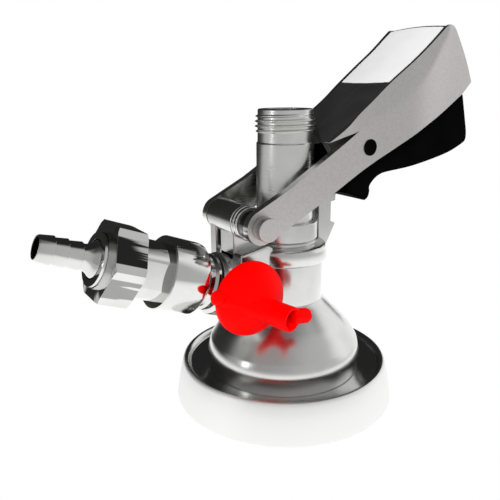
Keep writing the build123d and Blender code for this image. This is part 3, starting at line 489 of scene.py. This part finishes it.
# Lever: side plates; outside y = half width in plan - lean * softened height above the crease
leverLook = {"split": 22.4, "armOuter": 16.2, "armInner": 13.2, "lean": 0.22, "soft": 0.35}
rimPath = smoothPath([(8.0, 102.3), (17.2, 107.4), (23.5, 112.0), (30.3, 116.8), (38.7, 123.3),
                      (55, 134.8), (66.0, 143.7), (67.6, 144.6), (69.4, 144.5)], 5)
endPath = smoothPath([(69.4, 144.5), (71.0, 143.2), (75.4, 137.6), (80.5, 130.2), (84.5, 122.9)], 5)
lowPath = smoothPath([(-18.1, 69.3), (-3.9, 76.1), (11.8, 84.1), (25.2, 91.1), (53.1, 104.6),
                      (66.6, 111.0), (79.5, 118.4)], 4)
creasePath = smoothPath([(8.0, 102.2), (15.0, 103.9), (22.4, 105.8), (30.0, 109.5), (38.8, 114.2),
                         (53.5, 124.4), (63.5, 137.2), (67.5, 143.0)], 5)
outerPlan = smoothPath([(-40, 16.2), (10, 16.2), (28, 16.2), (40, 17.2), (52, 17.95), (70, 16.4),
                        (90, 15.3), (110, 14.2)], 8)
innerPlan = smoothPath([(24, 14.4), (38, 15.4), (52, 16.15), (70, 14.6), (90, 13.5), (110, 12.4)], 8)


def heightOn(path, x):
    return np.interp(x, path[:, 0], path[:, 1])


def outerSide(x, z):
    half = np.interp(x, outerPlan[:, 0], outerPlan[:, 1])
    above = z - heightOn(creasePath, np.clip(x, 8.0, 67.5))
    lean = leverLook["soft"] * np.log1p(np.exp(np.clip(above / leverLook["soft"], -30, 30)))
    return half - np.where(x > 7.9, leverLook["lean"] * np.where(above > -4, lean, 0),
                           0) * np.clip((x - 7.9) / 12, 0, 1)


def innerSide(x):
    return np.where(x < 16, leverLook["armInner"], np.where(x < 24, leverLook["armInner"] + (x - 16) * 0.15,
                    np.interp(x, innerPlan[:, 0], innerPlan[:, 1])))


columns = np.linspace(leverLook["split"], 84.5, 64)
shares = np.array([0, 0.12, 0.25, 0.4, 0.55, 0.68, 0.8, 0.9, 1.0])


def shellColumn(x):
    # Heights from the lower edge to the crease and on to the rim at one x.
    low = heightOn(lowPath, x) if x <= 79.5 else 118.4 + (x - 79.5) * 0.9
    high = heightOn(rimPath, x) if x <= 69.4 else heightOn(endPath, x)
    crease = np.clip(heightOn(creasePath, min(x, 67.5)), low, high - 0.05) if x <= 67.5 else high - 0.05
    lower = low + (crease - low) * shares
    upper = crease + (high - crease) * np.array([0.15, 0.35, 0.6, 0.8, 1.0])
    return np.concatenate([lower, upper])


sheet = []
heights = np.array([shellColumn(x) for x in columns])
for i in range(len(columns) - 1):
    for k in range(heights.shape[1] - 1):
        sheet.append([(columns[i], heights[i, k]), (columns[i + 1], heights[i + 1, k]),
                      (columns[i + 1], heights[i + 1, k + 1]), (columns[i], heights[i, k + 1])])
first = heights[0]
creaseRow = len(shares) - 1
sliverX = np.linspace(8.0, leverLook["split"], 18)
sliver = []
for x in sliverX:
    low, high = heightOn(creasePath, x), max(heightOn(rimPath, x), heightOn(creasePath, x) + 0.02)
    rise = (first[creaseRow:] - first[creaseRow]) / (first[-1] - first[creaseRow])
    sliver.append(low + (high - low) * rise)
for i in range(len(sliverX) - 1):
    for k in range(len(sliver[0]) - 1):
        sheet.append([(sliverX[i], sliver[i][k]), (sliverX[i + 1], sliver[i + 1][k]),
                      (sliverX[i + 1], sliver[i + 1][k + 1]), (sliverX[i], sliver[i][k + 1])])
endAngles = np.linspace(radians(-62), radians(-245), 22)
armOutline = [tuple(p) for p in lowPath if -18 < p[0] < leverLook["split"] - 0.1]
armOutline += [(leverLook["split"], z) for z in first[:creaseRow + 1]]
armOutline += [(16.3, 102.1), (-8.6, 87.6)]
armOutline += [(-21.0 + 6.2 * cos(a), 74.8 + 6.2 * sin(a)) for a in endAngles[::-1]]
sheet.append(armOutline)


def leverSide(name, sign):
    # Plate between outerSide(x, z) and innerSide(x), with walls round its border.
    work = bmesh.new()
    lookup = {}

    def vertex(x, z, layer):
        key = (round(x, 3), round(z, 3), layer)
        if key not in lookup:
            y = float(outerSide(np.array(x), np.array(z))) if layer == 0 else float(innerSide(np.array(x)))
            if layer == 1:
                y = min(y, float(outerSide(np.array(x), np.array(z))) - 1.0)
            lookup[key] = work.verts.new((x * mm, sign * y * mm, z * mm))
        return lookup[key]

    borders = {}
    for polygon in sheet:
        corners = []
        for x, z in polygon:
            corner = (round(x, 3), round(z, 3))
            if not corners or corners[-1] != corner:
                corners.append(corner)
        if corners[0] == corners[-1]:
            corners.pop()
        if len(set(corners)) < 3:
            continue
        for layer in (0, 1):
            face = work.faces.new([vertex(x, z, layer) for x, z in corners])
            face.material_index = 2 * layer
        for a, b in zip(corners, corners[1:] + corners[:1]):
            key = tuple(sorted((a, b)))
            borders[key] = borders.get(key, 0) + 1
    for (a, b), used in borders.items():
        if used == 1:
            wall = work.faces.new([vertex(*a, 0), vertex(*b, 0), vertex(*b, 1), vertex(*a, 1)])
            wall.material_index = 1
    bmesh.ops.recalc_face_normals(work, faces=work.faces)
    for face in work.faces:
        face.smooth = True
    for edge in work.edges:
        if len(edge.link_faces) == 2 and edge.calc_face_angle(0) > radians(32):
            edge.smooth = False
    mesh = bpy.data.meshes.new(name)
    work.to_mesh(mesh)
    work.free()
    piece = bpy.data.objects.new(name, mesh)
    bpy.context.scene.collection.objects.link(piece)
    # Outer faces get satin steel, walls the lighter steel with the painted edge highlight, inner faces
    # turned steel
    for finish in (satinSteel, highlightEdgeSteel, chromeSteel):
        mesh.materials.append(finish)
    modifier = piece.modifiers.new("edge", "BEVEL")
    modifier.width = 0.6 * mm
    modifier.segments = 3
    modifier.limit_method = "ANGLE"
    modifier.angle_limit = radians(32)
    modifier.harden_normals = True
    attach(piece, "lever")
    return piece


nearSide = leverSide("leverNearPlate", -1)
farSide = leverSide("leverFarPlate", 1)
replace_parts(nearSide, "lever_frame")
# End wall between the plates: a 1.8 mm sheet that follows the plates' rear edge
wallOuter = [p for p in smoothPath([(68.2, 144.3), (69.4, 144.3), (71.0, 143.1), (75.4, 137.5),
                                    (80.5, 130.1), (83.0, 126.0)], 5)]
wallInner = [(x - 1.5, z - 1.0) for x, z in wallOuter]
slab("leverEndWall", [tuple(p) for p in wallOuter] + [tuple(p) for p in wallInner[::-1]], -15.4, 15.4,
     satinSteel, "lever", 0.3)
print("stage: lever")

# Handle insert: top z = rim - 0.35 + crown * (1 - share squared),
# where share = distance from the middle / half width
insertLook = {"start": 9.2, "end": 68.0, "crown": 0.8, "depth": 7.0, "tubeGap": 12.9}


def insertTop(x, share):
    rim = float(heightOn(rimPath, x))
    return rim - 0.35 + insertLook["crown"] * (1 - share ** 2)


insertX = np.linspace(insertLook["start"], insertLook["end"], 56)
insertHalf = np.where(insertX < 24, 13.0 + np.clip(insertX - 16, 0, 8) * 0.15,
                      np.interp(insertX, innerPlan[:, 0], innerPlan[:, 1])) - 0.1
rimSide = np.array([float(outerSide(np.array(x), heightOn(rimPath, x))) for x in insertX])
insertHalf = np.minimum(insertHalf, rimSide - 0.9)
insertY = np.linspace(0, 1, 13)


def insertHalfPiece(sign):
    points = []
    for x, half in zip(insertX, insertHalf):
        inner = sqrt(max(insertLook["tubeGap"] ** 2 - x * x, 0.0))
        inner = min(inner, half - 0.4)
        ys = inner + (half - inner) * insertY
        points.append([(x, sign * y, insertTop(x, y / half)) for y in ys])
    return np.array(points)


for label, sign in (("insertNear", -1), ("insertFar", 1)):
    top = insertHalfPiece(sign)
    bottom = top + np.array([0.60, 0, -0.80]) * insertLook["depth"] * 0.95
    bottom[:, :, 1] = top[:, :, 1]
    grid = np.concatenate([top, bottom[:, ::-1]], axis=1)
    countX, countY = grid.shape[:2]
    faces = [(i * countY + k, (i + 1) * countY + k, (i + 1) * countY + (k + 1) % countY,
              i * countY + (k + 1) % countY)
             for i in range(countX - 1) for k in range(countY)]
    faces += [tuple(range(countY)), tuple((countX - 1) * countY + k for k in range(countY - 1, -1, -1))]
    piece = addPiece(label, grid.reshape(-1, 3), faces, insertPlastic, "lever", 0.3)
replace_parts(piece, "handle_insert")

# Label: thin blank film on the insert's top; lower edge x = 38.8 - 1.4 * (1 - share squared)
labelX = np.linspace(0, 1, 24)
labelRows = []
for row in labelX:
    line = []
    for share in np.linspace(-1, 1, 25):
        low = 38.8 - 1.4 * (1 - share ** 2)
        x = low + (66.4 - low) * row
        half = float(np.interp(x, insertX, insertHalf)) - 0.8
        line.append((x, share * half, insertTop(x, abs(share) * 0.95) + 0.12))
    labelRows.append(line)
labelRows = np.array(labelRows)
labelUnder = labelRows - np.array([0, 0, 0.3])
points = np.concatenate([labelRows.reshape(-1, 3), labelUnder.reshape(-1, 3)])
countY = 25
faces = [(i * countY + k, i * countY + k + 1, (i + 1) * countY + k + 1,
          (i + 1) * countY + k) for i in range(23) for k in range(24)]
offset = 24 * 25
faces += [tuple(offset + v for v in face[::-1]) for face in faces]
border = [k for k in range(25)] + [i * 25 + 24 for i in range(1, 24)] + [23 * 25 + k for k in range(23,
                                                            -1, -1)] + [i * 25 for i in range(22, 0, -1)]
faces += [(a, b, b + offset, a + offset) for a, b in zip(border, border[1:] + border[:1])]
addPiece("labelFilm", points, faces, labelPaper, "lever", 0.0)

# Trigger: pin ends and the grip with rounded edges
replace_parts(lathe("triggerPin", [(-16.5, 0.01), (-16.5, 3.1), (16.5, 3.1), (16.5, 0.01)], gripPlastic,
                  "lever", origin=(28.0, 0, 99.4),
                  axis=(0, -1, 0), count=64, bevel=0.05), "trigger_pin")
gripLow = smoothPath([(29.9, 78.3), (31.6, 79.3), (32.4, 81.6), (32.3, 83.8), (34.5, 86.2),
                      (37.4, 87.8), (41.3, 88.6), (55.7, 89.8), (71.9, 92.6), (80.4, 94.8),
                      (87.2, 97.6)], 4)
gripRear = smoothPath([(87.2, 97.6), (88.4, 99.0), (88.4, 102.0), (87.2, 106.5), (83.8, 118.0)], 4)
gripOutline = [(20.6, 82.0)] + [tuple(p) for p in gripLow] + [tuple(p) for p in gripRear[1:]] + [(78.0,
                                                            118.8), (60.0, 113.5), (40.0, 106.9),
                                                            (30.0, 104.3), (24.0, 101.7), (21.1, 97.0)]
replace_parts(slab("gripBody", gripOutline, -12.55, 12.55, gripPlastic, "trigger", 1.0, 4), "trigger_grip")
print("stage: handle")

# Relief cap: turned dome, with ridge, nozzle and nubs as turned rods between two points
capDome = smoothPath([(15.0, 13.35), (15.8, 13.58), (18.0, 13.2), (21.0, 10.6), (23.4, 6.0),
                      (24.25, 0.02)], 8)
capProfile = [(15.0, 12.0), (14.85, 12.6)] + [tuple(p) for p in capDome] + [(22.6, 0.02), (21.9, 5.4),
                                                            (19.8, 9.2), (17.6, 11.4)]
cap = lathe("capDome", capProfile, redPlastic, "relief_knob", origin=reliefOrigin, axis=(0, -1, 0),
            count=128, bevel=0.2)
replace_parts(cap, "relief_cap")


def rod(name, start, end, radii, material, body, count=48):
    # Turned rod from start to end, with (share of the length, radius) pairs.
    start, end = np.array(start, dtype=float), np.array(end, dtype=float)
    length = np.linalg.norm(end - start)
    profile = [(share * length, radius) for share, radius in radii]
    return lathe(name, profile, material, body, origin=start, axis=(end - start) / length,
                 across=(0.1, 0.3, 1), count=count, bevel=0.25)


rod("capRidge", (-38.0, -17.9, 52.8), (-22.2, -24.2, 46.4), [(0, 0.02), (0, 2.65), (0.3, 3.2),
                                                            (0.6, 3.9), (1, 4.45), (1, 0.02)],
    redPlastic, "relief_knob")
rod("capNearNub", (-34.0, -17.0, 51.9), (-41.8, -17.0, 53.7), [(0, 0.02), (0, 2.65), (0.82, 2.65),
                                                            (0.95, 2.2), (1.0, 1.4), (1.0, 0.02)],
    redPlastic, "relief_knob")
rod("capNozzle", (-22.9, -22.4, 46.7), (-20.1, -33.0, 46.3), [(0, 3.4), (0, 4.45), (0.97, 4.45),
                                                            (1.0, 4.2), (1.0, 3.5), (0.97, 3.35)],
    redPlastic, "relief_knob")
rod("capFarNub", (-18.5, -30.6, 46.4), (-11.5, -31.4, 45.7), [(0, 0.02), (0, 2.75), (0.75, 2.7),
                                                            (0.93, 2.1), (1.0, 1.3), (1.0, 0.02)],
    redPlastic, "relief_knob")
print("stage: relief cap")

# Nodes kept as they are get their finish
keptFinish = {"keg_gasket": sealRubber, "gas_adapter_seal": sealRubber, "gas_check_valve": sealRubber,
              "tail_washer": sealRubber,
              "relief_pad": sealRubber, "upper_probe_seal": sealRubber, "lower_probe_seal": sealRubber,
              "probe_foot_seal": sealRubber,
              "relief_insert": chromeSteel, "relief_gland": chromeSteel, "relief_poppet": tubeSteel,
              "relief_spring": tubeSteel,
              "link_pins": tubeSteel, "check_ball": chromeSteel, "ball_retainer": tubeSteel,
              "trigger_spring": tubeSteel}
for name, finish in keptFinish.items():
    mesh = nodes[name].data
    mesh.materials.clear()
    mesh.materials.append(finish)
    mesh.polygons.foreach_set("use_smooth", [False] * len(mesh.polygons))

# Stage: white floor; world white on the horizon, grey behind the camera and dark above and beyond
stageLook = {
    "floorNear": 1.30,
    "floorFar": 0.62,
    "rightFloor": 0.7,
    "away": (0.589, 0.808, 0.0),
    "right": (0.808, -0.589, 0.0),
    "front": 0.40,
    "frontRight": 0.22,
    "zenith": 0.04,
    "beyond": 0.025,
    "horizon": 0.03,
    "rightGlow": 1.1,
    "diffusePower": 15.0,
    "stripPower": 0.4,
}


def floorMaterial():
    # White for the camera; for other rays bright near the part, greyer further off and dark beyond it.
    recipe = Recipe("floor")
    split = recipe.node("ShaderNodeSeparateXYZ", sockets={"Vector": recipe.place})
    x, y = Value(recipe.tree, split.outputs["X"]), Value(recipe.tree, split.outputs["Y"])
    beyond = x * stageLook["away"][0] + y * stageLook["away"][1]
    distance = (x * x + y * y) ** 0.5
    glow = stageLook["floorFar"] + distance.ramp(0.10, 0.32,
                                                 stageLook["floorNear"] - stageLook["floorFar"], 0.0)
    rightward = (x * stageLook["right"][0] + y * stageLook["right"][1]) / distance
    dark = beyond.ramp(0.12, 0.30) * rightward.ramp(0.34, 0.22)
    glow = glow * (1.0 - 0.96 * dark) + stageLook["rightFloor"] * beyond.ramp(0.12,
                                                            0.30) * rightward.ramp(0.22, 0.34)
    seen = Value(recipe.tree, recipe.node("ShaderNodeLightPath").outputs["Is Camera Ray"])
    emission = recipe.node("ShaderNodeEmission",
                           sockets={"Color": glow + seen * (1.0 - glow), "Strength": 1.0})
    output = recipe.tree.nodes["Material Output"]
    recipe.tree.links.new(emission.outputs[0], output.inputs["Surface"])
    return recipe.material


bpy.ops.mesh.primitive_plane_add(size=6.0, location=(0, 0, -0.0002))
floor = bpy.context.object
floor.name = "floor"
floor.data.materials.append(floorMaterial())

world = bpy.data.worlds.new("studio")
bpy.context.scene.world = world
world.use_nodes = True
tree = world.node_tree
direction = tree.nodes.new("ShaderNodeTexCoord").outputs["Generated"]


def facing(axis):
    node = tree.nodes.new("ShaderNodeVectorMath")
    node.operation = "DOT_PRODUCT"
    tree.links.new(direction, node.inputs[0])
    node.inputs[1].default_value = axis
    return Value(tree, node.outputs["Value"])


up = facing((0, 0, 1))
away = facing(stageLook["away"])
right = facing(stageLook["right"])
frontTone = stageLook["front"] + stageLook["frontRight"] * right.ramp(-0.6, 0.8)
frontTone = frontTone + up.ramp(0.72, 0.95) * (stageLook["zenith"] - stageLook["front"])
backTone = stageLook["beyond"] + (stageLook["horizon"] - stageLook["beyond"]) * up.ramp(0.17, 0.05)
backTone = backTone + stageLook["rightGlow"] * right.ramp(0.50, 0.62) * up.ramp(0.75, 0.55)
tone = frontTone + away.ramp(-0.15, 0.15) * (backTone - frontTone)
rayNode = tree.nodes.new("ShaderNodeLightPath")
seen = Value(tree, rayNode.outputs["Is Camera Ray"])
tone = tone + seen * (1.0 - tone)
background = tree.nodes["Background"]
background.inputs["Strength"].default_value = 1.0
tone.put(background.inputs["Color"])


def areaLight(name, place, target, size, power, glossy=True):
    data = bpy.data.lights.new(name, "AREA")
    data.shape = "RECTANGLE"
    data.size, data.size_y = size
    data.energy = power
    light = bpy.data.objects.new(name, data)
    bpy.context.scene.collection.objects.link(light)
    light.location = place
    light.rotation_euler = (Vector(target) - Vector(place)).to_track_quat("-Z", "Y").to_euler()
    light.visible_glossy = glossy
    return light


areaLight("fillLight", (-0.65, -0.75, 0.85), (0, 0, 0.07), (0.6, 0.6), stageLook["diffusePower"], False)
areaLight("stripLight", (-0.80, 0.02, 0.22), (0, 0, 0.09), (0.07, 0.30), stageLook["stripPower"])

camera = bpy.data.objects.new("camera", bpy.data.cameras.new("camera"))
bpy.context.scene.collection.objects.link(camera)
bpy.context.scene.camera = camera
camera.data.sensor_width = 36.0
camera.data.lens = 41.4
camera.location = (-0.1287, -0.1764, 0.1230)
camera.rotation_mode = "XYZ"
camera.rotation_euler = (radians(73.83), radians(0.39), radians(-32.7))

scene = bpy.context.scene
scene.view_settings.view_transform = "Standard"
scene.view_settings.look = "None"
print("stage: light and camera")
